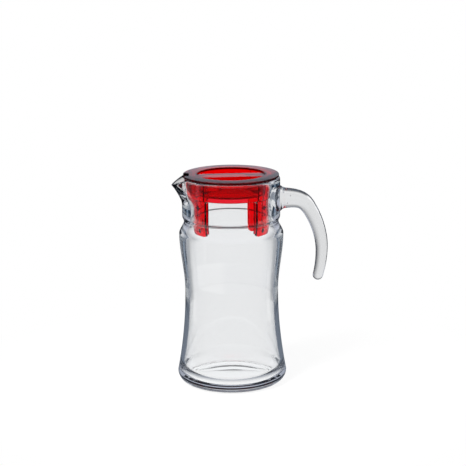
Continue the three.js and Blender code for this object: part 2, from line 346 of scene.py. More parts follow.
def ring_places(line):
    """A matrix for each ring: its place, its turn and its size."""
    lengths = [0.0]
    for first, second in zip(line, line[1:]):
        lengths.append(lengths[-1] + (second - first).length)
    places = []
    for index, point in enumerate(line):
        ahead = line[min(index + 1, len(line) - 1)] - line[max(index - 1, 0)]
        ahead.normalize()
        half = handle_half(lengths[index], lengths[-1])
        in_plane = Vector((-ahead.z, 0, ahead.x)) * half
        across = Vector((0, half * HANDLE_DEPTH_RATIO, 0))
        place = Matrix((in_plane, across, ahead)).transposed().to_4x4()
        place.translation = point
        places.append(place)
    return places


def with_round_tip(line):
    """Adds points close to the end of a line, where the bar rounds off."""
    rounded = [point for point in line if (line[-1] - point).length > HANDLE_TIP_HALF]
    back = (rounded[-1] - line[-1]).normalized()
    for step in range(TIP_ROUND_STEPS + 1):
        short = 1 - sin(step / TIP_ROUND_STEPS * pi / 2)
        rounded.append(line[-1] + back * HANDLE_TIP_HALF * short)
    return rounded


def swept_bar(places):
    """A closed bar through rings that each have their own place."""
    bm = bmesh.new()
    bmesh.ops.create_circle(bm, cap_ends=True, segments=HANDLE_SIDES, radius=1, matrix=places[0])
    ring = bm.edges[:]
    for before, after in zip(places, places[1:]):
        made = bmesh.ops.extrude_edge_only(bm, edges=ring)["geom"]
        points = [item for item in made if isinstance(item, bmesh.types.BMVert)]
        bmesh.ops.transform(bm, matrix=after @ before.inverted(), verts=points)
        fresh = set(points)
        ring = [edge for edge in bm.edges if edge.verts[0] in fresh and edge.verts[1] in fresh]
    bmesh.ops.edgeloop_fill(bm, edges=ring)
    bmesh.ops.recalc_face_normals(bm, faces=bm.faces[:])
    return bm


handle = swept_bar(ring_places(with_round_tip(handle_line())))
print("the handle has", len(handle.faces), "faces")

# %% [markdown]
# ## Fusing the handle to the wall
#
# Glass pressed on to hot glass becomes one piece, with no surface left inside. If the two meshes only
# overlapped, light would bend again at the hidden faces, so a Boolean union joins them into one skin.
# A few seeds, as glassmakers call tiny bubbles, sit near the handle's root and are cut out of the glass.
# The new piece rides on the jug's body and stands for both CAD nodes.

# %% Fuse the glass
SEED_RADIUS = 0.5 * MM
SEED_PLACES = ((10 * MM, 17.3 * MM), (10 * MM, 21.4 * MM), (6.9 * MM, 27 * MM))
CREASE = radians(40)


def scene_object(bm, name):
    """Puts a bmesh into the scene as an object at the origin."""
    mesh = bpy.data.meshes.new(name)
    bm.to_mesh(mesh)
    bm.free()
    made = bpy.data.objects.new(name, mesh)
    bpy.context.scene.collection.objects.link(made)
    return made


def combine(solid, tool, operation):
    """Joins a second closed solid to the first or cuts it out, and drops the second."""
    modifier = solid.modifiers.new("combine", "BOOLEAN")
    modifier.operation = operation
    modifier.solver = "EXACT"
    modifier.object = tool
    result = solid.evaluated_get(bpy.context.evaluated_depsgraph_get())
    mesh = bpy.data.meshes.new_from_object(result)
    solid.modifiers.clear()
    solid.data = mesh
    bpy.data.objects.remove(tool)


def smooth_but_sharp_over(piece, angle):
    """Shades a piece as smooth, with a crease wherever it turns by more than an angle."""
    piece.data.shade_smooth()
    piece.data.set_sharp_from_angle(angle=angle)


def seed_bubbles():
    """Small balls of air out from the collar and below the rim, for cutting out of the glass."""
    bm = bmesh.new()
    for outward, below_rim in SEED_PLACES:
        centre = at(COLLAR_RADIUS + outward, JUG_HEIGHT - below_rim)
        place = Matrix.Translation(centre)
        bmesh.ops.create_icosphere(bm, subdivisions=2, radius=SEED_RADIUS, matrix=place)
    return bm


glass_jug = scene_object(wall, "glass_jug")
combine(glass_jug, scene_object(handle, "handle_tool"), "UNION")
combine(glass_jug, scene_object(seed_bubbles(), "bubble_tool"), "DIFFERENCE")
smooth_but_sharp_over(glass_jug, CREASE)
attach(glass_jug, "jug")
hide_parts("glass_body", "glass_handle")
print("the glass has", len(glass_jug.data.polygons), "faces")

# %% [markdown]
# ## The lid's cover
#
# A flat plate lies on the rim, and a cup hangs under it. Two finger wells are sunk into the cup, with
# a grip bar left standing between them. It is one moulding, so we turn the plate and a solid drum in
# one piece, then cut the wells, the hollow under the bar and the pouring notch out of it.

# %% Turn the plate and the drum
plate_low, plate_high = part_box("lid_cover_plate")
cup_low, cup_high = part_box("lid_grip_cup")
PLATE_TOP = plate_high.z
PLATE_UNDERSIDE = plate_low.z
PLATE_RADIUS = plate_high.y
CUP_BOTTOM = cup_low.z
BAR_TOP = cup_high.z
CUP_WALL = 1.8 * MM
CUP_OUTER = 35.8 * MM
CUP_RADIUS = CUP_OUTER - CUP_WALL
CUP_DRAFT = 2.2 * MM
CUP_ROUND = 1.2 * MM
PLATE_ROUND = 0.5 * MM
LID_STEPS = 144


def drum_line():
    bottom_outer = CUP_OUTER - CUP_DRAFT
    line = [at(0, CUP_BOTTOM), at(bottom_outer - CUP_ROUND, CUP_BOTTOM)]
    round_to(line, at(bottom_outer, CUP_BOTTOM), at(bottom_outer, CUP_BOTTOM + CUP_ROUND), steps=4)
    line.append(at(CUP_OUTER, PLATE_UNDERSIDE))
    line.append(at(PLATE_RADIUS - PLATE_ROUND, PLATE_UNDERSIDE))
    lower_edge = at(PLATE_RADIUS, PLATE_UNDERSIDE)
    upper_edge = at(PLATE_RADIUS, PLATE_TOP)
    round_to(line, lower_edge, lower_edge + UP * PLATE_ROUND, steps=3)
    line.append(upper_edge - UP * PLATE_ROUND)
    round_to(line, upper_edge, at(PLATE_RADIUS - PLATE_ROUND, PLATE_TOP), steps=3)
    line.append(at(CUP_RADIUS, PLATE_TOP))
    line.append(at(CUP_RADIUS, BAR_TOP))
    line.append(at(0, BAR_TOP))
    return line


red_cover = scene_object(spun(drum_line(), LID_STEPS), "red_cover")
print("the cover is", round(2 * PLATE_RADIUS / MM, 1), "mm across")

# %% [markdown]
# A well is a round drafted pit with one side sliced away where the bar stands. We turn the whole pit,
# slice it with bisect_plane, close the slice and bevel its lower edge, so that the floor of the well
# runs round into its sides. The hollow under the bar is the slice between the two wells.

# %% Cut the wells, the hollow and the notch
BAR_WIDTH = 18 * MM
WELL_ROUND = 1.5 * MM
NOTCH_WIDTH = 16 * MM
NOTCH_DEPTH = 6 * MM
NOTCH_ROUND = 1.5 * MM
OVERCUT = 2 * MM
FLAT_ENOUGH = radians(1)
SOFT_EDGE = 0.35 * MM
EDGE_FACE_TILT = 0.8
# the material slot for painted shade: a near-black red on faces at the moulding's corners
PAINTED_EDGE_SHADE = 1


def pit(floor, top):
    """The drafted space inside the cup, from a floor up to a top."""
    bottom_radius = CUP_RADIUS - CUP_DRAFT
    return spun([at(0, floor), at(bottom_radius, floor), at(CUP_RADIUS, BAR_TOP),
                 at(CUP_RADIUS, top), at(0, top)], LID_STEPS)


def slice_off(bm, place, direction):
    """Cuts away what lies beyond a plane and closes the cut."""
    everything = bm.verts[:] + bm.edges[:] + bm.faces[:]
    cut = bmesh.ops.bisect_plane(bm, geom=everything, plane_co=place, plane_no=direction, clear_outer=True)
    edges = [item for item in cut["geom_cut"] if isinstance(item, bmesh.types.BMEdge)]
    bmesh.ops.edgeloop_fill(bm, edges=edges)
    bmesh.ops.dissolve_limit(bm, angle_limit=FLAT_ENOUGH, verts=bm.verts[:], edges=bm.edges[:])
    bmesh.ops.recalc_face_normals(bm, faces=bm.faces[:])


def round_edges(bm, edges, size, segments):
    bmesh.ops.bevel(bm, geom=edges, offset=size, offset_type="OFFSET", affect="EDGES",
                    segments=segments, profile=0.5, material=-1, clamp_overlap=True)


def finger_well(side):
    floor = CUP_BOTTOM + CUP_WALL
    bm = pit(floor, PLATE_TOP + OVERCUT)
    slice_off(bm, (0, side * BAR_WIDTH / 2, 0), (0, -side, 0))
    low = [edge for edge in bm.edges if max(point.co.z for point in edge.verts) < floor + TINY]
    round_edges(bm, low, WELL_ROUND, segments=4)
    return bm


def bar_hollow():
    half = BAR_WIDTH / 2 - CUP_WALL
    bm = pit(CUP_BOTTOM - OVERCUT, BAR_TOP - CUP_WALL)
    slice_off(bm, (0, half, 0), (0, 1, 0))
    slice_off(bm, (0, -half, 0), (0, -1, 0))
    return bm


def pouring_notch():
    bm = bmesh.new()
    size = (2 * NOTCH_DEPTH, NOTCH_WIDTH, PLATE_TOP - PLATE_UNDERSIDE + 2 * OVERCUT)
    bmesh.ops.create_cube(bm, size=1)
    bmesh.ops.scale(bm, vec=size, verts=bm.verts[:])
    middle = (-PLATE_RADIUS, 0, (PLATE_TOP + PLATE_UNDERSIDE) / 2)
    bmesh.ops.translate(bm, vec=middle, verts=bm.verts[:])
    upright = [edge for edge in bm.edges if abs(edge.verts[0].co.z - edge.verts[1].co.z) > OVERCUT]
    round_edges(bm, upright, NOTCH_ROUND, segments=5)
    return bm


for tool in (finger_well(1), finger_well(-1), bar_hollow(), pouring_notch()):
    combine(red_cover, scene_object(tool, "cutting_tool"), "DIFFERENCE")

# Painted shade: the plate's rim faces take the dark edge material, for the dark line where light is caught
# in the rim.
for face in red_cover.data.polygons:
    at_edge = hypot(face.center.x, face.center.y) > PLATE_RADIUS - PLATE_ROUND
    if at_edge and abs(face.normal.z) < EDGE_FACE_TILT:
        face.material_index = PAINTED_EDGE_SHADE

softened = red_cover.modifiers.new("softened edges", "BEVEL")
softened.width = SOFT_EDGE
softened.segments = 2
softened.limit_method = "ANGLE"
softened.angle_limit = CREASE
smooth_but_sharp_over(red_cover, CREASE)
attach(red_cover, "lid_cover")
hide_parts("lid_cover_plate", "lid_grip_cup")
print("the cover has", len(red_cover.data.polygons), "faces")

# %% [markdown]
# ## The ring in the neck
#
# Under the plate a ring stands in the neck and carries the four legs. It is turned like the cover.
# Over each leg it has a slightly raised panel, made by an inset of a few of its outer faces: one
# operator pushes them out and leaves a sloping edge round them.

# %% Turn the ring and raise its panels
ring_low, ring_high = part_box("lid_skirt_ring")
RING_OUTER = 38.2 * MM
RING_INNER = 36.3 * MM
RING_ROUND = 0.5 * MM
RING_STEPS = 180
CAGE_TURN = radians(-4.5)
BACK_LEGS_TURN = radians(8)
PANEL_FROM = radians(40)
PANEL_TO = radians(58)
PANEL_RISE = 0.9 * MM
PANEL_EDGE = 0.2 * MM
OUTWARD = 0.99
FINE_CREASE = radians(35)
FRONT = -pi / 2 + CAGE_TURN
BACK = pi / 2 + CAGE_TURN + BACK_LEGS_TURN


def ring_line():
    bottom, top = ring_low.z, ring_high.z
    line = [at(RING_INNER, top), at(RING_INNER, bottom + RING_ROUND)]
    round_to(line, at(RING_INNER, bottom), at(RING_INNER + RING_ROUND, bottom), steps=3)
    line.append(at(RING_OUTER - RING_ROUND, bottom))
    round_to(line, at(RING_OUTER, bottom), at(RING_OUTER, bottom + RING_ROUND), steps=3)
    line.extend([at(RING_OUTER, top), at(RING_INNER, top)])
    return line


def turned_from(point, start):
    """How far round the axis a point stands from a direction, between minus and plus half a turn."""
    return (atan2(point.y, point.x) - start + pi) % (2 * pi) - pi


def raise_faces(bm, faces, edge, rise):
    bmesh.ops.inset_region(bm, faces=faces, thickness=edge, depth=rise, use_even_offset=True)


def panel_faces(bm, start, side):
    """Outer faces of the ring over one leg."""
    chosen = []
    for face in bm.faces:
        middle = face.calc_center_median()
        on_outside = face.normal.dot(Vector((middle.x, middle.y, 0)).normalized()) > OUTWARD
        if on_outside and PANEL_FROM < side * turned_from(middle, start) < PANEL_TO:
            chosen.append(face)
    return chosen


ring = spun(ring_line(), RING_STEPS, FRONT)
for start in (FRONT, BACK):
    for side in (-1, 1):
        raise_faces(ring, panel_faces(ring, start, side), PANEL_EDGE, PANEL_RISE)

red_ring = scene_object(ring, "red_ring")
smooth_but_sharp_over(red_ring, FINE_CREASE)
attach(red_ring, "lid_cage")
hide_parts("lid_skirt_ring")
print("the ring has", len(red_ring.data.polygons), "faces")

# %% [markdown]
# ## The legs
#
# Four springy legs hang from the ring. Each is a curved plate with a raised panel, small ribs, a
# flange along one edge and a pointed bump that snaps past the neck. A flat grid is easy to select
# from, so we start with one, thicken it, pull the details out of its faces and bend it round the axis.

# %% Shape one leg
leg_low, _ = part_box("lid_leg_front_right")
LEG_GAP = 0.15 * MM
LEG_TOP = ring_low.z - LEG_GAP
LEG_BOTTOM = leg_low.z
LEG_LENGTH = LEG_TOP - LEG_BOTTOM
LEG_OUTER = 36.9 * MM
LEG_INNER = 34.7 * MM
LEG_HALF_ANGLE = radians(19.5)
LEG_HALF = LEG_HALF_ANGLE * LEG_OUTER
LEG_ANGLE = radians(59)
LEG_CORNER = 3.5 * MM
LEG_TAPER = 3 * MM
LEG_TAPER_HEIGHT = 13 * MM
LEG_FILLET = 2.4 * MM
LEG_COLUMNS = 42
LEG_ROWS = 62
FLANGE_COLUMNS = 3
FLANGE_RADIUS = 32.9 * MM
BUMP_RADIUS = 39.4 * MM
BUMP_REACH = BUMP_RADIUS - LEG_OUTER
BUMP_HALF_WIDTH = 2.4 * MM
BUMP_HALF_HEIGHT = 4 * MM
BUMP_ABOVE_TIP = 7 * MM
BUMP_FROM_EDGE = 7.7 * MM
EDGE_LINE = 0.5 * MM


def corner_inset(height, size):
    """How far a rounded corner draws an edge in at a height above the corner's foot."""
    missing = max(0, size - height)
    return size - sqrt(size ** 2 - missing ** 2)


def leg_edges(height):
    """Both edges of the leg at a height above its tip, as lengths round the leg from its middle."""
    draw_in = LEG_TAPER * (1 - smooth_step((height - LEG_CORNER) / LEG_TAPER_HEIGHT))
    corner = corner_inset(height, LEG_CORNER)
    fillet = corner_inset(LEG_LENGTH - height, LEG_FILLET)
    return -LEG_HALF + corner - fillet, LEG_HALF - draw_in - corner


def leg_grid():
    """A flat grid with the leg's outline, X round the leg from its flanged edge and Y up it."""
    bm = bmesh.new()
    bmesh.ops.create_grid(bm, x_segments=LEG_COLUMNS, y_segments=LEG_ROWS, size=0.5)
    for point in bm.verts:
        height = LEG_LENGTH * (point.co.y + 0.5)
        near, far = leg_edges(height)
        point.co = Vector((near + (far - near) * (point.co.x + 0.5), height, 0))
    return bm


leg_sample = leg_grid()
print("a leg starts from", len(leg_sample.faces), "faces")
leg_sample.free()

# %% [markdown]
# The flat leg now gets its thickness and its details while it still lies flat, with Z pointing out of
# the leg. Faces are picked by where they lie. Bending comes last: each point's length round the leg
# becomes an angle, and its height over the flat becomes a radius.

# %% Detail the legs and bend them round the axis
FACING = 0.9
WALL_TILT = 0.85
RIB_RISE = 0.8 * MM
RIB_EDGE = 0.1 * MM
RIB_HALF_LENGTH = 2.6 * MM
RIB_HALF_WIDTH = 0.55 * MM
CROSS_ABOVE_TIP = 30 * MM
DASH_ABOVE_TIP = 22.5 * MM


def leg_faces(bm, top, across, up):
    """Faces on the outer or inner side of a flat leg whose middles lie in a rectangle."""
    chosen = []
    for face in bm.faces:
        middle = face.calc_center_median()
        right_side = (face.normal.z > FACING) if top else (face.normal.z < -FACING)
        inside = across[0] < middle.x < across[1] and up[0] < middle.y < up[1]
        if right_side and inside:
            chosen.append(face)
    return chosen


def push_down(bm, across, up, depth):
    """Extrudes the inner faces in a rectangle further inwards."""
    faces = leg_faces(bm, False, across, up)
    around = {edge for face in faces for edge in face.edges}
    made = bmesh.ops.extrude_face_region(bm, geom=[*faces, *around])["geom"]
    points = [item for item in made if isinstance(item, bmesh.types.BMVert)]
    bmesh.ops.translate(bm, vec=(0, 0, -depth), verts=points)


def flat_leg():
    bm = leg_grid()
    thickness = LEG_OUTER - LEG_INNER
    made = bmesh.ops.extrude_face_region(bm, geom=bm.faces[:], use_keep_orig=True)["geom"]
    below = [item for item in made if isinstance(item, bmesh.types.BMVert)]
    bmesh.ops.translate(bm, vec=(0, 0, -EDGE_LINE), verts=below)
    bmesh.ops.recalc_face_normals(bm, faces=bm.faces[:])
    push_down(bm, (-2 * LEG_HALF, 2 * LEG_HALF), (0, LEG_LENGTH), thickness - EDGE_LINE)

    flange_width = 2 * LEG_HALF * FLANGE_COLUMNS / LEG_COLUMNS
    flange_depth = LEG_INNER - FLANGE_RADIUS
    for depth in (flange_depth - EDGE_LINE, EDGE_LINE):
        push_down(bm, (-2 * LEG_HALF, flange_width - LEG_HALF), (LEG_CORNER, LEG_LENGTH), depth)

    panel = leg_faces(bm, True, (-2 * LEG_HALF, 0), (LEG_CORNER / 2, LEG_LENGTH))
    raise_faces(bm, panel, PANEL_EDGE, PANEL_RISE)
    return bm


def pull_bump(bm):
    """Pulls a four-sided point out of the panel."""
    for point in bm.verts:
        beside = abs(point.co.x - BUMP_FROM_EDGE + LEG_HALF) / BUMP_HALF_WIDTH
        above = abs(point.co.y - BUMP_ABOVE_TIP) / BUMP_HALF_HEIGHT
        if point.co.z > 0 and beside + above < 1:
            point.co.z += (BUMP_REACH - PANEL_RISE) * (1 - beside - above)


def span(middle, half):
    return middle - half, middle + half


def add_ribs(bm):
    """Raises a small cross and a dash on the panel."""
    middle = BUMP_FROM_EDGE - LEG_HALF
    long_across = span(middle, RIB_HALF_LENGTH)
    thin_across = span(middle, RIB_HALF_WIDTH)
    cross = set(leg_faces(bm, True, long_across, span(CROSS_ABOVE_TIP, RIB_HALF_WIDTH)))
    cross.update(leg_faces(bm, True, thin_across, span(CROSS_ABOVE_TIP, RIB_HALF_LENGTH)))
    dash = leg_faces(bm, True, long_across, span(DASH_ABOVE_TIP, RIB_HALF_WIDTH))
    for rib in (list(cross), dash):
        raise_faces(bm, rib, RIB_EDGE, RIB_RISE)
        # Painted shade: the ribs take the dark edge material.
        for face in rib:
            face.material_index = PAINTED_EDGE_SHADE


def mark_walls(bm):
    """Gives the painted dark edge shade to the low walls on the panel and along the leg's corners."""
    bm.normal_update()
    for face in bm.faces:
        height = face.calc_center_median().z
        at_corner = height > -EDGE_LINE or height < FLANGE_RADIUS - LEG_OUTER + EDGE_LINE
        if at_corner and abs(face.normal.z) < WALL_TILT:
            face.material_index = PAINTED_EDGE_SHADE


def bend_round(bm, angle, side):
    """Bends a flat leg round the axis at an angle. Side -1 mirrors it."""
    for point in bm.verts:
        turned = angle + side * point.co.x / LEG_OUTER
        radius = LEG_OUTER + point.co.z
        point.co = Vector((radius * cos(turned), radius * sin(turned), LEG_BOTTOM + point.co.y))
    if side < 0:
        bmesh.ops.reverse_faces(bm, faces=bm.faces[:])


red_legs = []
for name, angle, side in (
    ("front_right", FRONT + LEG_ANGLE, 1),
    ("back_right", BACK - LEG_ANGLE, -1),
    ("back_left", BACK + LEG_ANGLE, 1),
    ("front_left", FRONT - LEG_ANGLE, -1),
):
    leg = flat_leg()
    add_ribs(leg)
    pull_bump(leg)
    mark_walls(leg)
    bend_round(leg, angle, side)
    red_leg = scene_object(leg, "red_leg_" + name)
    smooth_but_sharp_over(red_leg, FINE_CREASE)
    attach(red_leg, "leg_" + name)
    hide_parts("lid_leg_" + name)
    red_legs.append(red_leg)
    print(red_leg.name, "has", len(red_leg.data.polygons), "faces")

# %% [markdown]
# ## Writing shaders as sums
#
# Materials are networks of nodes, and a network written node by node is hard to read. One small class
# wraps a socket so that ordinary Python sums add Math nodes, and one method adds any other node from
# its type, its settings and what goes into its sockets.

# %% A sheet of nodes


class Value:
    """A number or colour that changes from place to place, held by a node's output socket."""

    def __init__(self, sheet, socket):
        self.sheet = sheet
        self.socket = socket

    def maths(self, operation, first, second):
        return self.sheet.node("ShaderNodeMath", {"operation": operation}, {0: first, 1: second})

    def __add__(self, other):
        return self.maths("ADD", self, other)

    __radd__ = __add__

    def __mul__(self, other):
        return self.maths("MULTIPLY", self, other)

    __rmul__ = __mul__

    def __sub__(self, other):
        return self.maths("SUBTRACT", self, other)

    def __rsub__(self, other):
        return self.maths("SUBTRACT", other, self)

    def at_least(self, count):
        """One where a counted number has reached a count, and nought elsewhere."""
        return self.maths("GREATER_THAN", self, count - 0.5)


class Sheet:
    """The node tree of one material or world, emptied and ready for new nodes."""

    def __init__(self, owner):
        owner.use_nodes = True
        self.tree = owner.node_tree
        self.tree.nodes.clear()

    def node(self, kind, settings=None, inputs=None, output=0):
        made = self.tree.nodes.new(kind)
        for name, setting in (settings or {}).items():
            setattr(made, name, setting)
        for key, value in (inputs or {}).items():
            if isinstance(value, Value):
                self.tree.links.new(value.socket, made.inputs[key])
            else:
                made.inputs[key].default_value = value
        return Value(self, made.outputs[output]) if made.outputs else None


print("a sheet takes nodes, and sums of its values")

# %% [markdown]
# ## Clear glass
#
# Glass has no colour of its own to paint: what we see is the room bent through it. It takes a full
# transmission, glass's own index of refraction and a trace of grey-blue that deepens with thickness,
# which is what Volume Absorption is for. A very slow bump gives the faint waves of pressed glass.

# %% Mix the glass
REFRACTION = 1.5
GLASS_TINT = (0.985, 0.99, 0.995, 1)
GLASS_DEEP_TINT = (0.70, 0.82, 0.90, 1)
GLASS_DENSITY = 1.5


def wavy_bump(sheet, scale, strength, distance):
    """Soft waves in the surface, from noise on the piece's own coordinates."""
    place = sheet.node("ShaderNodeTexCoord", output="Object")
    waves = sheet.node("ShaderNodeTexNoise", {}, {"Vector": place, "Scale": scale, "Detail": 1.0})
    return sheet.node("ShaderNodeBump", {}, {"Strength": strength, "Distance": distance, "Height": waves})


def see_through(sheet, tint, roughness, bump, deep_tint, density):
    """Ends a sheet with a surface that lets light through, over a tint that deepens with thickness."""
    surface = sheet.node("ShaderNodeBsdfPrincipled", {}, {
        "Base Color": tint, "Roughness": roughness, "IOR": REFRACTION,
        "Transmission Weight": 1.0, "Normal": bump,
    })
    inside = sheet.node("ShaderNodeVolumeAbsorption", {}, {"Color": deep_tint, "Density": density})
    sheet.node("ShaderNodeOutputMaterial", {}, {"Surface": surface, "Volume": inside})


def clear_glass():
    material = bpy.data.materials.new("clear_glass")
    sheet = Sheet(material)
    bump = wavy_bump(sheet, scale=55.0, strength=0.06, distance=1.0 * MM)
    see_through(sheet, GLASS_TINT, 0.0, bump, GLASS_DEEP_TINT, GLASS_DENSITY)
    return material


glass_jug.data.materials.clear()
glass_jug.data.materials.append(clear_glass())
print("the jug is made of", glass_jug.data.materials[0].name)

# %% [markdown]
# ## Tinted plastic
#
# The lid's plastic is dyed all through. A red surface colour would make every wall the same red, so the
# dye goes into the volume, where thick places turn darker than thin ones. Broad noise stands for the
# flow of the plastic in its mould and fine noise for scuffs. Light is caught at the moulding's corners,
# which then read as dark lines, so the narrow faces there get painted shade: a second, much darker
# material.

# %% Mix the plastic
RED_DEEP_TINT = (0.991, 0.01, 0.17, 1)
RED_DENSITY = 2100.0
RED_TINTS = ((1.0, 0.98, 0.98, 1), (1.0, 0.94, 0.95, 1))
# Painted shade: near-black reds for faces where light is caught at the moulding's corners.
PAINTED_EDGE_SHADE_TINTS = ((0.12, 0.01, 0.015, 1), (0.09, 0.01, 0.012, 1))
POLISHED = 0.01
SCUFFED = 0.04


def mix_colours(sheet, part, first, second):
    return sheet.node("ShaderNodeMix", {"data_type": "RGBA"}, {0: part, 6: first, 7: second}, 2)


def red_plastic(name, tints):
    material = bpy.data.materials.new(name)
    sheet = Sheet(material)
    bump = wavy_bump(sheet, scale=120.0, strength=0.05, distance=0.5 * MM)
    place = sheet.node("ShaderNodeTexCoord", output="Object")
    flow = sheet.node("ShaderNodeTexNoise", {}, {"Vector": place, "Scale": 90.0, "Detail": 2.0})
    scuffs = sheet.node("ShaderNodeTexNoise", {}, {"Vector": place, "Scale": 700.0, "Detail": 4.0})
    tint = mix_colours(sheet, flow, *tints)
    see_through(sheet, tint, POLISHED + SCUFFED * scuffs, bump, RED_DEEP_TINT, RED_DENSITY)
    return material


red = red_plastic("red_plastic", RED_TINTS)
# The second material is the painted edge shade.
red_painted_edge_shade = red_plastic("red_plastic_painted_edge_shade", PAINTED_EDGE_SHADE_TINTS)
for piece in [red_cover, red_ring, *red_legs]:
    piece.data.materials.append(red)
    piece.data.materials.append(red_painted_edge_shade)
print("materials:", [material.name for material in bpy.data.materials])

# %% [markdown]
# ## The room
#
# Clear things are photographed against a bright field: white behind, and darker things to the sides
# that the curved edges pick up as dark lines. The room could be built of panels, but a world shader
# does the same with no geometry. It knows which way a ray leaves, and Light Path counts how many
# surfaces the ray has passed and how often it was mirrored on its way. A ray that has passed three
# surfaces has been in the jug's hollow, and after five it has most likely met the lid.

# %% Ask what a ray has met
bpy.context.scene.view_settings.view_transform = "Standard"
scene_cycles = bpy.context.scene.cycles
scene_cycles.max_bounces = 40
scene_cycles.transmission_bounces = 40
scene_cycles.glossy_bounces = 24

HOLLOW_SURFACES = 3
LID_SURFACES = 5
FEW_MIRRORS = 3
MORE_MIRRORS = 5
MANY_MIRRORS = 7
FADE_IN = (0.0, 1.0)
FADE_OUT = (1.0, 0.0)


def fade(sheet, value, limits, levels):
    """Goes softly from one level to another while a value goes from one limit to another."""
    return sheet.node("ShaderNodeMapRange", {"interpolation_type": "SMOOTHSTEP"}, {
        "Value": value, "From Min": limits[0], "From Max": limits[1],
        "To Min": levels[0], "To Max": levels[1],
    })


def to_and_fro(sheet, angle, turn):
    """How far an angle stands from the nearest of the marks that repeat every two turns."""
    return sheet.node("ShaderNodeMath", {"operation": "PINGPONG"}, {0: angle, 1: turn})


def heights(start, end):
    """Two levels over the horizon, from degrees."""
    return sin(radians(start)), sin(radians(end))


def bearings(start, end):
    """Two directions to either side of the room's far wall, from degrees."""
    return cos(radians(start)), cos(radians(end))


def light_path(sheet, name):
    return sheet.node("ShaderNodeLightPath", output=name)


class Ray:
    """Which way a ray leaves for the room, and what it has met on its way."""

    def __init__(self, sheet):
        direction = sheet.node("ShaderNodeTexCoord", output="Generated")
        east = sheet.node("ShaderNodeSeparateXYZ", {}, {0: direction}, "X")
        north = sheet.node("ShaderNodeSeparateXYZ", {}, {0: direction}, "Y")
        bearing = sheet.node("ShaderNodeMath", {"operation": "ARCTAN2"}, {0: east, 1: north})
        self.height = sheet.node("ShaderNodeSeparateXYZ", {}, {0: direction}, "Z")
        self.turned = bearing - CAMERA_TURN
        self.towards = sheet.node("ShaderNodeMath", {"operation": "COSINE"}, {0: self.turned})
        self.sideways = sheet.node("ShaderNodeMath", {"operation": "SINE"}, {0: self.turned})
        self.surfaces = light_path(sheet, "Transmission Depth")
        self.mirrors = light_path(sheet, "Glossy Depth")
        self.hollow = self.surfaces.at_least(HOLLOW_SURFACES)
        self.lid = self.surfaces.at_least(LID_SURFACES)


print("the room knows", HOLLOW_SURFACES, "surfaces as the hollow and", LID_SURFACES, "as the lid")

# %% [markdown]
# Most rays go straight through the glass. Through both walls of the jug they find a bright room with
# faint uprights all round it, and through the solid bar of the handle one that darkens to the right.
# Rays that bend upwards find a darker ceiling. Behind the lid the uprights would only make its red
# patchy, so there the room is evenly bright.

# %% Colour what is seen straight through
WHITE = (1, 1, 1, 1)
NIGHT = (0.025, 0.03, 0.04, 1)
UPRIGHT_TURN = radians(22.5)
UPRIGHT_EDGE = (radians(7), radians(20))
UPRIGHT_LIGHT = (0.92, 0.5)
LID_LIGHT = 0.95
HOLLOW_CEILING = heights(3.5, 8)
HOLLOW_CEILING_LIGHT = (1.0, 0.1)
BAR_SIDE = (0.05, 0.85)
BAR_LIGHT = (0.78, 0.2)
BAR_CEILING = heights(14, 30)
BAR_CEILING_LIGHT = (1.0, 0.5)


def straight_through(sheet, ray):
    """The room as seen with no mirroring on the way."""
    off_upright = to_and_fro(sheet, ray.turned, UPRIGHT_TURN)
    both_walls = fade(sheet, off_upright, UPRIGHT_EDGE, UPRIGHT_LIGHT)
    both_walls = both_walls * (1 - ray.lid) + LID_LIGHT * ray.lid
    both_walls = both_walls * fade(sheet, ray.height, HOLLOW_CEILING, HOLLOW_CEILING_LIGHT)
    one_bar = fade(sheet, ray.sideways, BAR_SIDE, BAR_LIGHT)
    one_bar = one_bar * fade(sheet, ray.height, BAR_CEILING, BAR_CEILING_LIGHT)
    return mix_colours(sheet, both_walls * ray.hollow + one_bar * (1 - ray.hollow), NIGHT, WHITE)


print("straight through, the brightest is", UPRIGHT_LIGHT[0], "and through the lid", LID_LIGHT)

# %% [markdown]
# Rays that are mirrored in the glass on their way find a dim surround, which draws the dark outlines.
# Those that stayed in one wall see a hazy far wall, a bright strip at each side of it and, a little
# below the horizon, a row of dark blue slats that stripes the collar. Those that crossed the hollow see
# a paler ground. What goes up sees a cool sky, and what is mirrored again and again ends in the dark.

# %% Colour what is mirrored
DIM = (0.18, 0.21, 0.26, 1)
DUSK = (0.02, 0.024, 0.03, 1)
SKY = (0.82, 0.86, 1, 1)
HAZE = (0.42, 0.45, 0.48, 1)
PALE_WALL = (0.92, 0.93, 0.95, 1)
DARK_SLAT = (0.015, 0.028, 0.05, 1)
PALE_SLAT = (0.17, 0.23, 0.31, 1)
GROUND = (0.3, 0.33, 0.38, 1)
PALE_GROUND = (0.85, 0.85, 0.85, 1)
LID_GROUND = (0.8, 0.8, 0.8, 1)
FAR_WALL = bearings(50, 0)
STRIP_START = bearings(60, 66)
STRIP_END = bearings(74, 80)
FAR_HALF = bearings(105, 80)
FAR_GROUND = bearings(65, 45)
SLAT_TURN = radians(12)
SLAT_EDGE = (radians(4), radians(10))
SLAT_FOOT = heights(-13.6, -13.1)
SLAT_HEAD = heights(-10.6, -9.8)
HORIZON = heights(-4, 2)
SKY_RISE = heights(20, 60)
SKY_LIGHT = (0.55, 0.2)
OVERHEAD = heights(50, 56)


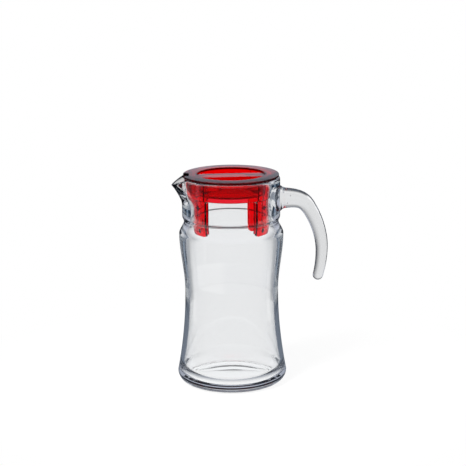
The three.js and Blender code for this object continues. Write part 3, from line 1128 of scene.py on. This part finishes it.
def from_inside_the_wall(sheet, ray):
    strip = fade(sheet, ray.towards, STRIP_START, FADE_IN) * fade(sheet, ray.towards, STRIP_END, FADE_OUT)
    off_slat = to_and_fro(sheet, ray.turned, SLAT_TURN)
    slats = mix_colours(sheet, fade(sheet, off_slat, SLAT_EDGE, FADE_IN), DARK_SLAT, PALE_SLAT)
    at_slats = fade(sheet, ray.height, SLAT_FOOT, FADE_IN) * fade(sheet, ray.height, SLAT_HEAD, FADE_OUT)
    colour = mix_colours(sheet, fade(sheet, ray.towards, FAR_WALL, FADE_IN), DIM, HAZE)
    colour = mix_colours(sheet, strip, colour, WHITE)
    colour = mix_colours(sheet, ray.mirrors.at_least(FEW_MIRRORS), colour, PALE_WALL)
    colour = mix_colours(sheet, at_slats, colour, slats)
    return mix_colours(sheet, fade(sheet, ray.towards, FAR_HALF, FADE_IN), NIGHT, colour)


def from_across_the_hollow(sheet, ray):
    colour = mix_colours(sheet, fade(sheet, ray.towards, FAR_HALF, FADE_IN), NIGHT, DIM)
    colour = mix_colours(sheet, fade(sheet, ray.towards, FAR_GROUND, FADE_IN), colour, GROUND)
    colour = mix_colours(sheet, ray.mirrors.at_least(FEW_MIRRORS), colour, PALE_GROUND)
    return mix_colours(sheet, ray.lid, colour, LID_GROUND)


def mirrored_room(sheet, ray):
    """The room as seen after one or more mirrorings."""
    in_wall = from_inside_the_wall(sheet, ray)
    below = mix_colours(sheet, ray.hollow, in_wall, from_across_the_hollow(sheet, ray))
    below = mix_colours(sheet, ray.surfaces.at_least(1), DUSK, below)
    sky = mix_colours(sheet, fade(sheet, ray.height, SKY_RISE, SKY_LIGHT), NIGHT, SKY)
    sky = mix_colours(sheet, ray.hollow, sky, WHITE)
    colour = mix_colours(sheet, fade(sheet, ray.height, HORIZON, FADE_IN), below, sky)
    colour = mix_colours(sheet, ray.lid * ray.mirrors.at_least(MORE_MIRRORS), colour, NIGHT)
    overhead = ray.hollow * ray.mirrors.at_least(FEW_MIRRORS) * fade(sheet, ray.height, OVERHEAD, FADE_IN)
    colour = mix_colours(sheet, overhead, colour, NIGHT)
    return mix_colours(sheet, ray.mirrors.at_least(MANY_MIRRORS), colour, NIGHT)


def paint_room():
    world = bpy.data.worlds.new("room")
    bpy.context.scene.world = world
    sheet = Sheet(world)
    ray = Ray(sheet)
    straight = straight_through(sheet, ray)
    seen = mix_colours(sheet, ray.mirrors.at_least(1), straight, mirrored_room(sheet, ray))
    colour = mix_colours(sheet, light_path(sheet, "Is Camera Ray"), seen, WHITE)
    glow = sheet.node("ShaderNodeBackground", {}, {"Color": colour, "Strength": 1.0})
    sheet.node("ShaderNodeOutputWorld", {}, {"Surface": glow})
    return world


room = paint_room()
print("the room has", len(room.node_tree.nodes), "nodes")

# %% [markdown]
# ## The floor and the lamps
#
# The floor is a pale round table top that runs out into the white of the room. Most of its light is
# its own, so it stays white, and the rest is a matt surface that keeps the jug's faint shadow. Seen
# through the glass or mirrored in it, the floor's glow has painted light and shade: darker and paler
# zones, as the room has.

# %% Lay the floor
FLOOR_RADIUS = 300 * MM
FLOOR_MATT = (0.9, 0.9, 0.9, 1)
FLOOR_THROUGH_HOLLOW = 0.92
FLOOR_UNDER_BAR = (120 * MM, 260 * MM)
FLOOR_UNDER_BAR_LIGHT = (0.06, 0.86)
FLOOR_LEFT = (-40 * MM, 0.0)
FLOOR_LEFT_LIGHT = (0.9, 0.0)
FLOOR_NEAR = (40 * MM, 60 * MM)
FLOOR_NEAR_LIGHT = (0.95, 0.0)
FLOOR_BY_SPOUT = (-130 * MM, -70 * MM)
FLOOR_BY_SPOUT_LIGHT = (0.9, 0.0)
FLOOR_FRONT = (-20 * MM, 20 * MM)
FLOOR_GLOW = (100 * MM, 290 * MM)
FLOOR_GLOW_SHARE = (0.85, 1.0)


def floor_glow_with_painted_zones():
    material = bpy.data.materials.new("pale_floor")
    sheet = Sheet(material)
    place = sheet.node("ShaderNodeTexCoord", output="Object")
    east = sheet.node("ShaderNodeSeparateXYZ", {}, {0: place}, "X")
    north = sheet.node("ShaderNodeSeparateXYZ", {}, {0: place}, "Y")
    distance = sheet.node("ShaderNodeVectorMath", {"operation": "LENGTH"}, {0: place}, "Value")
    surfaces = light_path(sheet, "Transmission Depth")
    mirrors = light_path(sheet, "Glossy Depth")
    by_camera = light_path(sheet, "Is Camera Ray")
    hollow = surfaces.at_least(HOLLOW_SURFACES)

    # Painted shade: seen through the handle, the glow darkens under the bar and towards the left.
    under_bar = fade(sheet, distance, FLOOR_UNDER_BAR, FLOOR_UNDER_BAR_LIGHT)
    under_bar = under_bar + fade(sheet, east, FLOOR_LEFT, FLOOR_LEFT_LIGHT)
    light = hollow * FLOOR_THROUGH_HOLLOW + (1 - hollow) * under_bar
    straight = mix_colours(sheet, by_camera, mix_colours(sheet, light, NIGHT, WHITE), WHITE)

    # Painted light and shade for mirrored rays: white near the jug and by the spout, dim elsewhere.
    near = fade(sheet, distance, FLOOR_NEAR, FLOOR_NEAR_LIGHT)
    by_spout = fade(sheet, east, FLOOR_BY_SPOUT, FLOOR_BY_SPOUT_LIGHT)
    by_spout = by_spout * fade(sheet, north, FLOOR_FRONT, FADE_OUT)
    mirrored = mix_colours(sheet, near + by_spout, DIM, WHITE)
    mirrored = mix_colours(sheet, hollow, mirrored, WHITE)
    mirrored = mix_colours(sheet, surfaces.at_least(LID_SURFACES), mirrored, NIGHT)
    mirrored = mix_colours(sheet, mirrors.at_least(FEW_MIRRORS), mirrored, NIGHT)

    colour = mix_colours(sheet, mirrors.at_least(1), straight, mirrored)
    glow = sheet.node("ShaderNodeEmission", {}, {"Color": colour, "Strength": 1.0})
    matt = sheet.node("ShaderNodeBsdfDiffuse", {}, {"Color": FLOOR_MATT})
    direct = by_camera * fade(sheet, distance, FLOOR_GLOW, FLOOR_GLOW_SHARE)
    glassy = light_path(sheet, "Is Transmission Ray") + light_path(sheet, "Is Glossy Ray")
    part = sheet.node("ShaderNodeMath", {"operation": "MAXIMUM", "use_clamp": True}, {0: direct, 1: glassy})
    both = sheet.node("ShaderNodeMixShader", {}, {0: part, 1: matt, 2: glow})
    sheet.node("ShaderNodeOutputMaterial", {}, {"Surface": both})
    return material


floor_mesh = bmesh.new()
bmesh.ops.create_circle(floor_mesh, cap_ends=True, segments=96, radius=FLOOR_RADIUS)
floor = scene_object(floor_mesh, "floor")
floor.data.materials.append(floor_glow_with_painted_zones())
floor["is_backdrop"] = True
print("the floor is", round(2 * FLOOR_RADIUS, 2), "m across")

# %% [markdown]
# Two wide, soft lamps give the shadow its direction. They would show as round spots in the glass, where
# the room already gives every highlight, so reflections and see-through pieces don't see them.

# %% Hang the lamps
LAMP_AIM = Vector((0, 0, 100 * MM))


def soft_lamp(name, place, size, power):
    data = bpy.data.lights.new(name, "AREA")
    data.shape = "DISK"
    data.size = size
    data.energy = power
    lamp = bpy.data.objects.new(name, data)
    lamp.location = place
    lamp.rotation_euler = (LAMP_AIM - lamp.location).to_track_quat("-Z", "Y").to_euler()
    lamp.visible_glossy = False
    lamp.visible_transmission = False
    bpy.context.scene.collection.objects.link(lamp)
    return lamp


for name, place, size, power in (
    ("key_lamp", Vector((-0.9, -0.8, 1.3)), 0.7, 45),
    ("fill_lamp", Vector((1.1, -0.5, 0.9)), 0.9, 22),
):
    lamp = soft_lamp(name, place, size, power)
    print(lamp.name, "hangs", round((lamp.location - LAMP_AIM).length, 2), "m off")

# %% [markdown]
# ## The sizes side by side
#
# The looks must not change the measurements, so the last cell writes the CAD box and the finished
# box side by side.

# %% Write the sizes and finish
boxes = {"cad": cad_box, "visual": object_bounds()}
for name, box in boxes.items():
    print(name, [[round(value / MM, 2) for value in corner] for corner in box])
